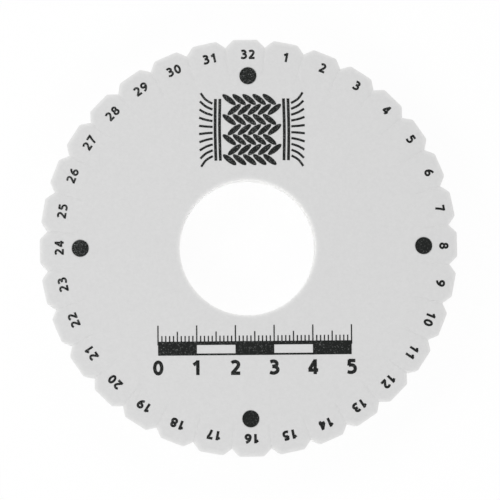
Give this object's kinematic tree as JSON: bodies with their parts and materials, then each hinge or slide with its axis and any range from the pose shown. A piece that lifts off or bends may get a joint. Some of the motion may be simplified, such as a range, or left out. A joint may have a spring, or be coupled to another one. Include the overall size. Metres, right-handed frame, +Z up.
{
  "type": "kumihimo disk",
  "caption": "Round flat braiding disk of thick foam with a round centre hole, a rim of notched tabs parted by thread slits, and printed starting dots.",
  "frame": {"origin": "on the underside of the disk, in the middle of its outline and of the centre hole", "axes": "+Z up through the centre hole, out of the printed face; +Y towards the tab numbered 32; +X towards the tab numbered 8"},
  "size_m": [0.108, 0.108, 0.0101],
  "materials": {
    "foam": "matte",
    "ink": "matte"
  },
  "bodies": {
    "root": {"foam_disk": "foam", "dot_08": "ink", "dot_16": "ink", "dot_24": "ink", "dot_32": "ink"}
  },
  "joints": []
}
